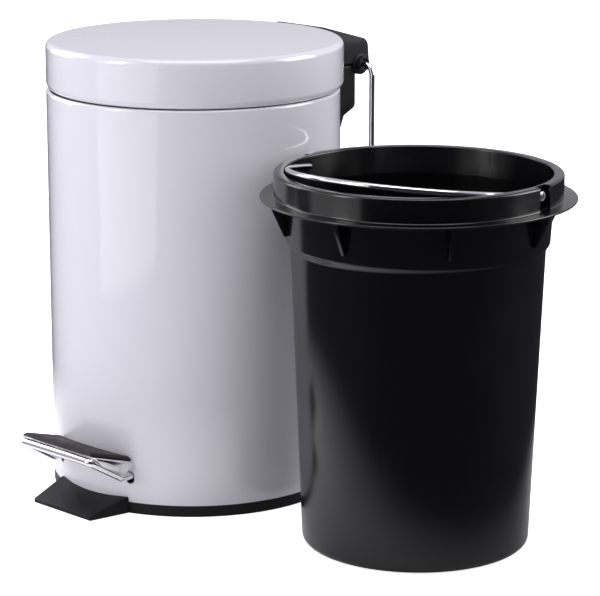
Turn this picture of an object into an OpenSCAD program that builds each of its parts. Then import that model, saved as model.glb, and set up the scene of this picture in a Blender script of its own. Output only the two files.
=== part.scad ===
// Round pedal bin of about three litres, with its inner bucket standing beside it.
// The steel body stands on a black base ring with a toe ramp. A bent-wire pedal rocks on an
// axle just inside the body, a lever under the bucket lifts a push rod at the back, and the
// rod turns the lid about the pin of the rear hinge. The origin is on the floor, on the axis
// of the body. The pedal faces -Y, the hinge +Y, and the bucket stands on the +X side.

/* [Body] */
// Outside radius of the steel body
body_r = 84; // [75:1:110]
// Height of the top of the rolled rim above the floor
body_top = 231; // [190:1:330]
// Thickness of the steel sheet of the body and lid
sheet = 0.8; // [0.6:0.1:1.2]
// Radius of the bead rolled inwards round the rim
rim_bead_r = 1.6; // [1.4:0.1:1.8]

/* [Base] */
// Height of the black ring that shows below the body
base_h = 6.5; // [5:0.5:10]
// How far the toe ramp stands out in front of the body
ramp_reach = 20.5; // [12:0.5:28]
// Width of the toe ramp at its front edge
ramp_front_w = 49; // [36:1:60]
// Width of the toe ramp where it meets the body
ramp_back_w = 57; // [44:1:70]
// Height of the toe ramp at its front edge
ramp_front_h = 2.6; // [1.5:0.1:4]
// Height of the toe ramp where it meets the body
ramp_back_h = 9.5; // [7.5:0.1:13]

/* [Lid] */
// How far the lid stands out past the body all round
lid_over = 1; // [0.5:0.1:2]
// Height of the lid from its lower edge to its top
lid_h = 26.9; // [20:0.1:40]
// Gap between the body's rim and the lower edge of the lid
lid_gap = 0.6; // [0.4:0.1:1.2]
// How far the lid sits back from the body's axis, towards the hinge
lid_back = 1.4; // [0.4:0.1:2]
// Radius of the rounded top edge of the lid
lid_corner_r = 3.5; // [2:0.5:6]
// How far the lower edge of the lid is turned inwards
lid_curl = 2; // [1:0.1:2.5]
// Height over which the lower edge of the lid turns inwards
lid_curl_h = 3.8; // [2:0.1:6]

/* [Hinge] */
// Distance of the hinge pin behind the body
hinge_reach = 34; // [30:0.5:42]
// Height of the hinge pin above the body's rim
hinge_rise = 2.5; // [2:0.1:4]
// Width of the two hinge brackets
bracket_w = 38; // [36:1:50]
// Radius of the hinge pin
pin_r = 2; // [1.5:0.1:2.2]
// Radius of the round bosses that hold the pin and the carrying handle
boss_r = 6.5; // [5.5:0.1:7.5]
// How far the round bosses stand out of the sides of the lid bracket
boss_out = 3.5; // [2:0.5:6]
// Angle to which the pedal opens the lid
lid_open = 76; // [50:1:80]

/* [Carrying handle] */
// Diameter of the carrying handle's wire
handle_d = 3.2; // [2.6:0.1:3.6]
// Distance of each leg's centre line outside the boss's end face
handle_leg_out = 6.2; // [5.5:0.1:12]
// Distance of the handle's lower bar below the hinge pin
handle_drop = 75; // [50:1:100]
// Bend radius of the handle's two lower corners
handle_corner_r = 8; // [5:0.5:14]

/* [Pedal] */
// Diameter of the pedal's wire
pedal_d = 4.6; // [3.5:0.1:5]
// Distance between the centre lines of the pedal's two legs
leg_spacing = 58.6; // [52:0.2:66]
// Distance of the pedal's front bar in front of the body
bar_reach = 23.5; // [20:0.5:30]
// Height of the pedal's front bar above the floor
bar_z = 36; // [32:0.5:44]
// Tilt of the foot plate, up towards the front
plate_tilt = 16.2; // [12:0.1:20]
// Thickness of the foot plate
plate_t = 0.9; // [0.7:0.1:1.5]
// Thickness of the rubber pad
pad_t = 2.4; // [1.8:0.1:4]

/* [Linkage] */
// Distance of the pedal axle inside the front of the body
axle_in = 12; // [11:0.5:20]
// Height of the pedal axle above the floor
axle_z = 14.9; // [13:0.1:18]
// Radius of the pedal axle
axle_r = 2.5; // [2:0.1:2.8]
// How much lower the lift lever is at the push rod than at the axle
lever_drop = 10.6; // [8:0.1:10.8]
// Thickness of the lift lever
lever_t = 1.5; // [1:0.1:2]
// Distance of the push rod's pivot from the hinge pin
crank_r = 26; // [24:0.5:27]
// Diameter of the push rod
rod_d = 3.5; // [3:0.1:4]
// Distance of the push rod inside the outside of the body
rod_in = 4.6; // [4.4:0.1:5]

/* [Bucket] */
// How far the bucket's flange reaches past the outside of the body when it hangs on the rim
flange_over = 0.8; // [0:0.1:0.9]
// Width of the flange outside the collar
flange_w = 7.5; // [6:0.1:10]
// How far the bucket steps in from the collar to the neck below the flange
neck_step = 5.3; // [4.6:0.1:8]
// How far the bucket steps in below the shoulder
shoulder_step = 3.7; // [2.5:0.1:6]
// How much smaller in radius the bucket is at its bottom than at the shoulder
bucket_draft = 6.3; // [3:0.1:12]
// Height of the free space under the bucket when it hangs in the body
bucket_stand = 40.3; // [38:0.1:60]
// Height of the neck between the shoulder and the flange
neck_h = 27.4; // [24:0.1:40]
// Height of the collar above the top of the flange
collar_h = 13; // [10:0.5:20]
// Wall of the bucket
bucket_wall = 1.5; // [1.2:0.1:2]
// Angle of the bail's pivots round the bucket, from the +X direction
bucket_turn = 10.5; // [0:0.5:30]
// Gap between the bucket's flange and the body
bucket_gap = 2; // [1.2:0.1:40]

/* [Bail] */
// Diameter of the bail's wire
bail_d = 3; // [2.4:0.1:3.4]
// Depth of the bail's pivots below the collar's top
bail_drop = 5.4; // [4:0.1:8]
// Angle of the folded bail above the level of its pivots
bail_fold = 8; // [4:0.5:12]

/* [Hidden] */

$fn = 96;
// Clearance of a pin that turns in a bore, and of two faces that only touch
run_fit = 0.05;
seat = 0.02;
// Clearance between parts that move past each other
free = 0.4;
// Overshoot of a cutting shape past the face that it cuts
over = 1;
// How much a wire swells where it is bent sharply
joint_swell = 0.03;

// Body and base
body_in = body_r - sheet;
rim_open_r = body_r - 2 * rim_bead_r;
base_lip_h = 7;
base_lip_t = 1.8;
base_wall = 3;
base_floor_t = 1.2;
floor_r = body_r - base_wall - seat;
floor_z = 2.5;
floor_t = 0.8;
floor_top = floor_z + floor_t;

// Lid
lid_r = body_r + lid_over;
lid_z = body_top + lid_gap;
lid_top = lid_z + lid_h;
lid_in = lid_r - sheet;

// Hinge
hinge_y = body_r + hinge_reach;
hinge_z = body_top + hinge_rise;
bracket_top_gap = 0.3;
bracket_bottom_gap = 0.2;
half_w = bracket_w / 2;
side_play = 0.4;
ear_t = 5;
ear_in = half_w - ear_t;
knuckle_r = boss_r - 1;
knuckle_half = ear_in - side_play;
boss_x = half_w + boss_out;
pin_half = ear_in + 2.4;
bore_split = pin_half + 0.2;
hollow_half = 10.5;
screw_r = 1.75;
screw_head_r = 3.4;
screw_head_h = 2;
screw_len = 8.5;
backing_t = 0.85;
backing_half_angle = 14;
body_screw_angle = 9.5;
lid_screw_angle = 10.6;

// Push rod: its upper end turns on a lug of the lid bracket and moves on an arc about the
// hinge pin, half of it below the pin's level and half above, while the rod stays upright
crank_low = lid_open / 2;
pivot_y = hinge_y - crank_r * cos(crank_low);
pivot_z = hinge_z - crank_r * sin(crank_low);
rod_rise = 2 * crank_r * sin(crank_low);
rod_sway = crank_r * (1 - cos(crank_low));
rod_r = rod_d / 2;
rod_y = body_r - rod_in;
window_z1 = body_top - 2 * rim_bead_r - 0.5;
jog_z = window_z1 - 0.5 - rod_r - rod_rise;
lug_x = 3;
lug_t = 4;
lug_r = 4.5;
rod_pin_end = lug_x + lug_t + 2.5;
window_half = rod_r + 1.75;
window_z0 = jog_z - rod_r - 1;

// Pedal: the legs leave the body level with the lever and then rise to the front bar
leg_x = leg_spacing / 2;
leg_r = pedal_d / 2;
axle_y = axle_in - body_r;
lever_gap = 0.4;
lever_low = axle_r + lever_gap;
lever_high = lever_low + lever_t;
rod_reach = rod_y - axle_y;
lever_slope = atan(lever_drop / rod_reach);
leg_high = lever_high + leg_r;
wall_y = -sqrt(pow(body_r, 2) - pow(leg_x, 2));
kink_y = wall_y - 6.5;
kink_z = axle_z + leg_high / cos(lever_slope) + (axle_y - kink_y) * tan(lever_slope);
bar_y = -body_r - bar_reach;
leg_tilt = atan2(bar_z - kink_z, kink_y - bar_y);
leg_run = norm([kink_y - bar_y, bar_z - kink_z]);
pedal_bend_r = 2.8;
leg_inner_y = 42;
pedal_stroke = rod_rise / rod_reach * 180 / PI;
slot_drop = (axle_y - wall_y) * sin(pedal_stroke) + 0.5;
slot_r = leg_r + free;
slot_z = axle_z + leg_high / cos(lever_slope) + (axle_y - wall_y) * tan(lever_slope);
plate_half = leg_x + leg_r + 0.1;
plate_front = -1.2;
plate_lap = 4.5;
plate_depth = (bar_reach + plate_lap) / cos(plate_tilt);
plate_back_gap = 1.2;
flange_front = 3.3;
flange_back = 6.6;
flange_back_y = plate_depth - 4.1;

// Axle, its brackets and the lever's ears
pivot_bracket_x = 16;
pivot_bracket_t = 2;
rivet_r = 1.6;
rivet_head_r = 3;
rivet_ys = [axle_y + 12, axle_y + 22];
ear_x = 22;
lever_ear_t = 1.5;
axle_half = 26.5;
clip_t = 0.9;
lever_front_half = leg_x + leg_r;
lever_tongue_half = 8;
lever_wide_y = 48;
lever_tip = body_in - axle_y - 0.6;
lever_chamfer = 3;
washer_r = rod_in - sheet - 0.6;
washer_t = 1;
washer_gap = 1.15;

// Bucket and bail: the flange hangs on the rim of the body, and the ribs go in through the rim
flange_r = body_r + flange_over;
collar_r = flange_r - flange_w;
bucket_neck_r = collar_r - neck_step;
bucket_top_r = bucket_neck_r - shoulder_step;
bucket_bottom_r = bucket_top_r - bucket_draft;
flange_z = body_top - bucket_stand;
shoulder_z = flange_z - neck_h;
bucket_x = body_r + bucket_gap + flange_r;
bucket_y = 4.6;
flange_t = 1.2;
flange_top = flange_z + flange_t;
collar_top = flange_top + collar_h;
collar_w = 5.6;
collar_in = collar_r - collar_w;
skirt_t = 1.5;
bucket_edge_r = 4;
shoulder_h = 4.7;
shoulder_r = bucket_neck_r - 1.4;
rib_count = 8;
rib_t = 2.5;
rib_h = 19.5;
rib_r = rim_open_r - 1.3;
recess_w = 10.5;
bail_z = collar_top - bail_drop;
bail_r = bail_d / 2;
bail_arc_r = collar_in - bail_r - free;
bail_head_x = collar_in + bucket_wall + 0.3;
bail_head_t = 2.2;
bail_head_r = 2.6;

// A cylinder from one point to another
module rod_between(p, q, r) {
    v = q - p;
    translate(p)
        rotate([0, acos(v.z / norm(v)), atan2(v.y, v.x)])
            cylinder(h = norm(v), r = r);
}

// A wire's bend in the XY plane, from angle a0 to a1 about a centre
module wire_bend(centre, bend_r, a0, a1, r) {
    translate([centre.x, centre.y, 0])
        rotate([0, 0, a0])
            rotate_extrude(angle = a1 - a0)
                translate([bend_r, 0])
                    circle(r = r);
}

// A side view, drawn with Y across and Z up, given a width along X
module side_view(width) {
    rotate([90, 0, 90])
        linear_extrude(height = width, center = true)
            children();
}

// A cylinder along X, centred on the YZ plane
module cross_bar(y, z, r, length) {
    translate([0, y, z])
        rotate([0, 90, 0])
            cylinder(h = length, r = r, center = true);
}

// A cylinder pointing out from a vertical axis, at an angle from the +Y direction
module radial_bar(angle, z, from_r, to_r, r) {
    rotate([0, 0, -angle])
        translate([0, from_r, z])
            rotate([-90, 0, 0])
                cylinder(h = to_r - from_r, r = r);
}

// A curved strip of sheet standing on a circle, centred on the +Y direction
module backing_strip(r, t, z0, z1) {
    rotate([0, 0, 90 - backing_half_angle])
        rotate_extrude(angle = 2 * backing_half_angle)
            translate([r - t, z0])
                square([t, z1 - z0]);
}

// The places of the four screws that hold the lower bracket
module at_body_screws() {
    for (angle = [-body_screw_angle, body_screw_angle], z = [body_top - 53, body_top - 9])
        let ($screw_angle = angle, $screw_z = z) children();
}

module body_shell() {
    color("white")
        difference() {
            rotate_extrude() {
                translate([body_in, base_h])
                    square([sheet, body_top - rim_bead_r - base_h]);
                translate([body_r - rim_bead_r, body_top - rim_bead_r])
                    circle(r = rim_bead_r);
            }
            for (side = [-1, 1]) {
                leg_slot(side);
            }
            translate([-window_half, 0, window_z0])
                cube([2 * window_half, body_r + over, window_z1 - window_z0]);
            at_body_screws()
                radial_bar($screw_angle, $screw_z, body_in - over, body_r + over, screw_r + 0.15);
        }
}

// The upright slot that one leg of the pedal passes through
module leg_slot(side) {
    translate([side * leg_x, 0, slot_z]) {
        rotate([90, 0, 0])
            cylinder(h = body_r + over, r = slot_r);
        translate([0, 0, -slot_drop])
            rotate([90, 0, 0])
                cylinder(h = body_r + over, r = slot_r);
        translate([-slot_r, -body_r - over, -slot_drop])
            cube([2 * slot_r, body_r + over, slot_drop]);
    }
}

module base_ring() {
    ramp_y = -body_r - ramp_reach;
    notch_half = lever_tongue_half + 1;
    notch_r = body_in - 0.3;
    color([0.10, 0.10, 0.11]) {
        difference() {
            rotate_extrude() {
                translate([body_r - base_wall, 0])
                    square([base_wall, base_h]);
                translate([body_in - seat - base_lip_t, 0])
                    square([base_lip_t, base_h + base_lip_h]);
                translate([body_r - base_wall - 6, 0])
                    square([6 + base_lip_t, floor_z]);
                square([body_r - base_wall, base_floor_t]);
            }
            intersection() {
                translate([-notch_half, 0, floor_z])
                    cube([2 * notch_half, body_r, base_h]);
                cylinder(h = base_h + base_lip_h, r = notch_r);
            }
            translate([-notch_half, 0, base_h])
                cube([2 * notch_half, body_r, base_lip_h + over]);
        }
        difference() {
            intersection() {
                linear_extrude(height = ramp_back_h + over)
                    polygon([
                        [-ramp_front_w / 2, ramp_y], [ramp_front_w / 2, ramp_y],
                        [ramp_back_w / 2, -body_r + 4], [ramp_back_w / 2, -body_r + 10],
                        [-ramp_back_w / 2, -body_r + 10], [-ramp_back_w / 2, -body_r + 4]]);
                side_view(ramp_back_w + over)
                    polygon([
                        [ramp_y, 0], [-body_r + 10, 0],
                        [-body_r + 10, ramp_back_h], [-body_r + 4, ramp_back_h],
                        [ramp_y + 0.8, ramp_front_h], [ramp_y, ramp_front_h - 0.8]]);
            }
            translate([0, 0, base_h])
                cylinder(h = ramp_back_h + over, r = body_r + seat);
            translate([0, 0, -over])
                cylinder(h = base_h + 2 * over, r = body_r - base_wall + over);
        }
    }
}

module floor_plate() {
    emboss_r = floor_r - 40;
    emboss_drop = 1;
    color("silver")
        difference() {
            rotate_extrude() {
                translate([emboss_r, floor_z])
                    square([floor_r - emboss_r, floor_t]);
                translate([0, floor_z - emboss_drop])
                    square([emboss_r, floor_t]);
                translate([emboss_r - floor_t, floor_z - emboss_drop])
                    square([floor_t, emboss_drop + floor_t]);
            }
            at_pivot_rivets()
                translate([0, 0, -over])
                    cylinder(h = floor_top + 2 * over, r = rivet_r + seat);
        }
}

// Lower bracket: its side view, from the foot on the body up to the level of the pin
module body_bracket_side() {
    back_y = hinge_y - 3.3;
    polygon([
        [body_r - 6, body_top - 71], [body_r, body_top - 71],
        [hinge_y - 17.5, body_top - 48], [hinge_y - 16.3, body_top - 36],
        [hinge_y - 12.7, body_top - 27.4], [back_y - 3, body_top - 24.6],
        [back_y - 0.9, body_top - 23.4], [back_y, body_top - 21.5],
        [back_y, hinge_z - bracket_top_gap], [body_r - 6, hinge_z - bracket_top_gap]]);
}

// The space inside the lower bracket that the push rod and the lid's lug move in
module body_bracket_hollow() {
    rod_back = pivot_y + rod_r + free;
    hollow_back = hinge_y - 7.5;
    polygon([
        [body_r - 4, window_z0], [rod_back, window_z0],
        [rod_back, body_top - 25], [hollow_back, body_top - 17],
        [hollow_back, lid_top], [body_r - 4, lid_top]]);
}

module body_bracket() {
    color([0.12, 0.12, 0.13])
        difference() {
            union() {
                side_view(bracket_w - 2 * side_play)
                    body_bracket_side();
                cross_bar(hinge_y, hinge_z, knuckle_r, 2 * knuckle_half);
            }
            cylinder(h = lid_top, r = body_r + seat);
            translate([0, lid_back, body_top - 0.1])
                cylinder(h = lid_h, r = lid_r + 0.5);
            side_view(2 * hollow_half)
                body_bracket_hollow();
            for (side = [-1, 1]) {
                translate([side * (knuckle_half + ear_t), 0, 0])
                    cross_bar(hinge_y, hinge_z, boss_r + free, 2 * ear_t);
            }
            cross_bar(hinge_y, hinge_z, pin_r + seat, 3 * bracket_w);
            at_body_screws()
                radial_bar($screw_angle, $screw_z, body_in, body_in + screw_len, screw_r + seat);
        }
}

module body_bracket_plate() {
    color("silver")
        difference() {
            backing_strip(body_in - seat, backing_t, body_top - 62, window_z1 - 0.5);
            translate([-window_half - 1, 0, window_z0 - 1])
                cube([2 * window_half + 2, body_r, body_top]);
            at_body_screws()
                radial_bar($screw_angle, $screw_z, body_in - 5, body_r, screw_r + 0.15);
        }
}

// One screw pointing outwards, its head seated on the inner face of a curved plate
module bracket_screw(angle, z, seat_r) {
    radial_bar(angle, z, seat_r - screw_head_h, seat_r - 0.1, screw_head_r);
    radial_bar(angle, z, seat_r - 0.2, seat_r + screw_len, screw_r);
}

module body_bracket_screws() {
    color("dimgray")
        at_body_screws()
            bracket_screw($screw_angle, $screw_z, body_in - seat - backing_t);
}

module hinge_pin() {
    color("silver")
        cross_bar(hinge_y, hinge_z, pin_r, 2 * pin_half);
}

// The four rivets that hold the axle brackets to the floor plate
module at_pivot_rivets() {
    for (side = [-1, 1], y = rivet_ys) {
        translate([side * (pivot_bracket_x - 5), y, 0])
            children();
    }
}

// An angle of sheet steel: a foot on the floor plate and an upright ear for the axle
module pivot_bracket(side) {
    color("silver")
        difference() {
            union() {
                translate([side * (pivot_bracket_x + pivot_bracket_t / 2), 0, 0]) {
                    cross_bar(axle_y, axle_z, axle_r + 2.4, pivot_bracket_t);
                    side_view(pivot_bracket_t)
                        polygon([
                            [axle_y - axle_r - 2.4, axle_z], [axle_y - axle_r - 2.4, floor_top],
                            [axle_y + 26, floor_top], [axle_y + 26, floor_top + 3],
                            [axle_y + axle_r + 2.4, axle_z]]);
                }
                translate([side > 0 ? pivot_bracket_x - 10 : -pivot_bracket_x, axle_y + 7, floor_top])
                    cube([10, 19, pivot_bracket_t / 2]);
            }
            cross_bar(axle_y, axle_z, axle_r + run_fit, 4 * pivot_bracket_x);
            at_pivot_rivets()
                cylinder(h = axle_z, r = rivet_r + seat);
        }
}

module pivot_bracket_left() {
    pivot_bracket(-1);
}

module pivot_bracket_right() {
    pivot_bracket(1);
}

module pivot_rivets() {
    rivet_low = floor_z - 0.9;
    rivet_high = floor_top + pivot_bracket_t / 2;
    color("gray")
        at_pivot_rivets() {
            translate([0, 0, rivet_low])
                cylinder(h = floor_z - rivet_low - seat, r = rivet_head_r);
            translate([0, 0, rivet_low])
                cylinder(h = rivet_high + 1 - rivet_low, r = rivet_r);
            translate([0, 0, rivet_high + seat])
                cylinder(h = 1, r = rivet_head_r);
        }
}

// Half of the lid's section, filled: turned-in lower edge, upright side, rounded corner and top
module lid_half(r, top, corner) {
    skirt_z = lid_z + lid_curl_h;
    polygon([
        [0, lid_z - over], [r - lid_curl, lid_z - over], [r - lid_curl, lid_z],
        [r - 0.25 * lid_curl, lid_z + 0.5 * lid_curl_h], [r, skirt_z],
        [r, top - corner], [0, top - corner]]);
    translate([0, top - corner])
        square([r - corner, corner]);
    translate([r - corner, top - corner])
        circle(r = corner);
}

module lid_shell() {
    color("white")
        translate([0, lid_back, 0])
            difference() {
                rotate_extrude()
                    difference() {
                        lid_half(lid_r, lid_top, lid_corner_r);
                        lid_half(lid_in, lid_top - sheet, lid_corner_r - sheet);
                        translate([0, lid_z - 2 * over])
                            square([lid_r, 2 * over]);
                    }
                at_lid_screws()
                    radial_bar($screw_angle, $screw_z, lid_in - over, lid_r + over, screw_r + 0.15);
            }
}

// The places of the two screws that hold the upper bracket
module at_lid_screws() {
    for (angle = [-lid_screw_angle, lid_screw_angle])
        let ($screw_angle = angle, $screw_z = lid_top - 11) children();
}

// Upper bracket: its side view, sloping down from the lid's top to the rounded back corner
module lid_bracket_side() {
    z0 = hinge_z + bracket_bottom_gap;
    polygon([
        [body_r - 6, z0], [hinge_y + 8.2, z0], [hinge_y + 7.2, lid_top - 14.5],
        [hinge_y + 6.3, lid_top - 12.1], [hinge_y + 4, lid_top - 10.2],
        [body_r + 3, lid_top - 0.3], [body_r - 6, lid_top - 0.3]]);
}

module lid_bracket() {
    z0 = hinge_z + bracket_bottom_gap;
    cavity_y = body_r + 8.5;
    color([0.12, 0.12, 0.13])
        difference() {
            union() {
                difference() {
                    side_view(bracket_w)
                        lid_bracket_side();
                    side_view(2 * ear_in)
                        polygon([
                            [cavity_y, z0 - over], [hinge_y + 6, z0 - over],
                            [hinge_y + 5, lid_top - 15], [hinge_y + 2, lid_top - 13],
                            [cavity_y, lid_top - 5.5]]);
                }
                for (side = [-1, 1]) {
                    translate([side * (ear_in + boss_x) / 2, 0, 0])
                        cross_bar(hinge_y, hinge_z, boss_r, boss_x - ear_in);
                }
                translate([lug_x + lug_t / 2, 0, 0]) {
                    cross_bar(pivot_y, pivot_z, lug_r, lug_t);
                    side_view(lug_t)
                        polygon([
                            [pivot_y - lug_r, pivot_z], [pivot_y + lug_r, pivot_z],
                            [pivot_y + lug_r, lid_top - 7], [pivot_y - lug_r, lid_top - 5]]);
                }
            }
            translate([0, lid_back, 0])
                cylinder(h = lid_top + over, r = lid_r + seat);
            cross_bar(hinge_y, hinge_z, pin_r + run_fit, 2 * bore_split);
            cross_bar(hinge_y, hinge_z, handle_d / 2 + run_fit, 2 * boss_x + 2 * over);
            cross_bar(pivot_y, pivot_z, rod_r + run_fit, 3 * rod_pin_end);
            translate([0, lid_back, 0])
                at_lid_screws()
                    radial_bar($screw_angle, $screw_z, lid_in, lid_in + screw_len, screw_r + seat);
        }
}

module lid_bracket_plate() {
    color("silver")
        translate([0, lid_back, 0])
            difference() {
                backing_strip(lid_in - seat, backing_t, lid_top - 18, lid_top - 4.6);
                at_lid_screws()
                    radial_bar($screw_angle, $screw_z, lid_in - 5, lid_r, screw_r + 0.15);
            }
}

module lid_bracket_screws() {
    color("dimgray")
        translate([0, lid_back, 0])
            at_lid_screws()
                bracket_screw($screw_angle, $screw_z, lid_in - seat - backing_t);
}

module carry_handle() {
    wire_r = handle_d / 2;
    leg = boss_x + handle_leg_out;
    top_bend = handle_leg_out - 0.2;
    low = -handle_drop;
    color("silver")
        translate([0, hinge_y, hinge_z])
            rotate([90, 0, 0]) {
                for (side = [0, 1]) {
                    mirror([side, 0, 0]) {
                        rod_between([bore_split + 0.3, 0, 0], [leg - top_bend, 0, 0], wire_r);
                        wire_bend([leg - top_bend, -top_bend], top_bend, 0, 90, wire_r);
                        rod_between([leg, -top_bend, 0], [leg, low + handle_corner_r, 0], wire_r);
                        wire_bend([leg - handle_corner_r, low + handle_corner_r],
                            handle_corner_r, -90, 0, wire_r);
                    }
                }
                rod_between([handle_corner_r - leg, low, 0], [leg - handle_corner_r, low, 0], wire_r);
            }
}

module push_rod() {
    foot_z = rod_foot_z() - lever_t / 2 - washer_gap - washer_t - 1;
    corners = [
        [0, rod_y, foot_z], [0, rod_y, jog_z], [0, pivot_y, jog_z],
        [0, pivot_y, pivot_z], [rod_pin_end, pivot_y, pivot_z]];
    color("silver") {
        for (i = [0:3]) {
            rod_between(corners[i], corners[i + 1], rod_r);
        }
        for (i = [1:3]) {
            translate(corners[i])
                sphere(r = rod_r);
        }
    }
}

module rod_clip() {
    clip_x = lug_x + lug_t + 0.4;
    color("dimgray")
        difference() {
            translate([clip_x + clip_t / 2, 0, 0])
                cross_bar(pivot_y, pivot_z, rod_r + 2, clip_t);
            cross_bar(pivot_y, pivot_z, rod_r + seat, 3 * rod_pin_end);
        }
}

// Height of the middle of the lever's tongue at the push rod
function rod_foot_z() =
    axle_z + (lever_low + lever_t / 2) / cos(lever_slope) - rod_reach * tan(lever_slope);

module rod_washers() {
    color("dimgray")
        for (side = [-1, 1]) {
            translate([0, rod_y, rod_foot_z() + side * (lever_t / 2 + washer_gap + washer_t / 2)])
                difference() {
                    cylinder(h = washer_t, r = washer_r, center = true);
                    cylinder(h = 2 * washer_t, r = rod_r + seat, center = true);
                }
        }
}

// The plane of the pedal's front part, with its origin in the middle of the front bar
module bar_plane() {
    translate([0, bar_y, bar_z])
        rotate([-leg_tilt, 0, 0])
            children();
}

module pedal_wire() {
    inner_z = axle_z + leg_high / cos(lever_slope) - leg_inner_y * tan(lever_slope);
    color("silver") {
        bar_plane() {
            rod_between([pedal_bend_r - leg_x, 0, 0], [leg_x - pedal_bend_r, 0, 0], leg_r);
            for (side = [0, 1]) {
                mirror([side, 0, 0]) {
                    wire_bend([leg_x - pedal_bend_r, pedal_bend_r], pedal_bend_r, -90, 0, leg_r);
                    rod_between([leg_x, pedal_bend_r, 0], [leg_x, leg_run, 0], leg_r);
                }
            }
        }
        for (side = [-1, 1]) {
            translate([side * leg_x, kink_y, kink_z])
                sphere(r = leg_r + joint_swell);
            rod_between([side * leg_x, kink_y, kink_z],
                [side * leg_x, axle_y + leg_inner_y, inner_z], leg_r);
        }
    }
}

// The foot plate's frame: its underside, touching the top of the front bar
module plate_frame() {
    translate([0, bar_y + leg_r * sin(plate_tilt), bar_z + leg_r * cos(plate_tilt)])
        rotate([-plate_tilt, 0, 0])
            children();
}

module pedal_plate() {
    color("gainsboro")
        difference() {
            plate_frame() {
                translate([-plate_half, plate_front, 0])
                    cube([2 * plate_half, plate_depth - plate_front, plate_t]);
                for (side = [-1, 1]) {
                    translate([side * (plate_half + plate_t / 2), 0, 0])
                        side_view(plate_t + 2 * seat)
                            polygon([
                                [plate_front + 1, plate_t], [plate_front + 1.4, -flange_front],
                                [flange_back_y, -flange_back], [plate_depth, plate_t]]);
                }
            }
            cylinder(h = body_top, r = body_r + plate_back_gap);
        }
}

// One level of the rubber pad's outline, wider at the back than at the front
module pad_level(z, inset) {
    pad_front_half = plate_half - 2.6;
    pad_back_half = plate_half - 0.6;
    translate([0, 0, z])
        linear_extrude(height = 0.1)
            polygon([
                [-pad_front_half + inset, plate_front + inset],
                [pad_front_half - inset, plate_front + inset],
                [pad_back_half - inset, plate_depth - 0.4 * inset],
                [-pad_back_half + inset, plate_depth - 0.4 * inset]]);
}

module pedal_pad() {
    color([0.16, 0.15, 0.17])
        difference() {
            plate_frame()
                hull() {
                    pad_level(plate_t + seat, 0);
                    pad_level(plate_t + 0.45 * pad_t, 0);
                    pad_level(plate_t + pad_t - 0.1, 1.6);
                }
            cylinder(h = body_top, r = body_r + plate_back_gap);
        }
}

// The lever's frame: the axle's centre line, turned to the lever's slope at rest
module lever_frame() {
    translate([0, axle_y, axle_z])
        rotate([-lever_slope, 0, 0])
            children();
}

// The lever ends in a fork, open towards the body's wall, that holds the push rod's foot
module lift_lever() {
    slot_y = rod_reach / cos(lever_slope) - rod_sway - 0.8;
    clear_x = pivot_bracket_x - 1.5;
    clear_w = pivot_bracket_t + 3;
    color("silver")
        difference() {
            union() {
                lever_frame() {
                    translate([0, 0, lever_low])
                        linear_extrude(height = lever_t)
                            polygon([
                                [-lever_front_half, 6], [lever_front_half, 6],
                                [lever_front_half, lever_wide_y],
                                [lever_tongue_half, lever_wide_y + 34],
                                [lever_tongue_half, lever_tip - lever_chamfer],
                                [lever_tongue_half - lever_chamfer, lever_tip],
                                [lever_chamfer - lever_tongue_half, lever_tip],
                                [-lever_tongue_half, lever_tip - lever_chamfer],
                                [-lever_tongue_half, lever_wide_y + 34],
                                [-lever_front_half, lever_wide_y]]);
                    for (side = [-1, 1]) {
                        translate([side * (ear_x + lever_ear_t / 2), 0, 0]) {
                            cross_bar(0, 0, axle_r + 2, lever_ear_t);
                            side_view(lever_ear_t)
                                polygon([
                                    [-axle_r - 2, 0], [-axle_r - 2, lever_high],
                                    [16, lever_high], [axle_r + 2, 0]]);
                        }
                    }
                }
            }
            for (side = [-1, 1]) {
                lever_frame()
                    translate([side * (clear_x + clear_w / 2) - clear_w / 2, 0, lever_low - over])
                        cube([clear_w, 14, lever_t + 2 * over]);
            }
            cross_bar(axle_y, axle_z, axle_r + seat, 4 * axle_half);
            lever_frame() {
                translate([0, slot_y, lever_low - over])
                    cylinder(h = lever_t + 2 * over, r = rod_r + free);
                translate([-rod_r - free, slot_y, lever_low - over])
                    cube([2 * (rod_r + free), lever_tip - slot_y + over, lever_t + 2 * over]);
            }
        }
}

// Two saddles that hold the pedal's legs down on the lever
module leg_clamps() {
    clamp_t = 1;
    clamp_y = 26;
    clamp_w = 8;
    color("silver")
        lever_frame()
            for (side = [-1, 1]) {
                translate([side * leg_x, clamp_y, leg_high])
                    rotate([-90, 0, 0])
                        difference() {
                            cylinder(h = clamp_w, r = leg_r + clamp_t);
                            translate([0, 0, -over])
                                cylinder(h = clamp_w + 2 * over, r = leg_r + seat);
                            translate([-2 * leg_r, leg_r - seat, -over])
                                cube([4 * leg_r, 2 * leg_r, clamp_w + 2 * over]);
                        }
            }
}

module pedal_axle() {
    color("silver")
        cross_bar(axle_y, axle_z, axle_r, 2 * axle_half);
}

module axle_clips() {
    clip_x = ear_x + lever_ear_t + 0.3;
    color("dimgray")
        for (side = [-1, 1]) {
            translate([side * (clip_x + clip_t / 2), 0, 0])
                difference() {
                    cross_bar(axle_y, axle_z, axle_r + 1.2, clip_t);
                    cross_bar(axle_y, axle_z, axle_r + seat, 2 * clip_t);
                }
        }
}

// The bucket's own frame: upright, with X through the bail's pivots
module bucket_frame() {
    translate([bucket_x, bucket_y, 0])
        rotate([0, 0, bucket_turn])
            children();
}

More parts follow.
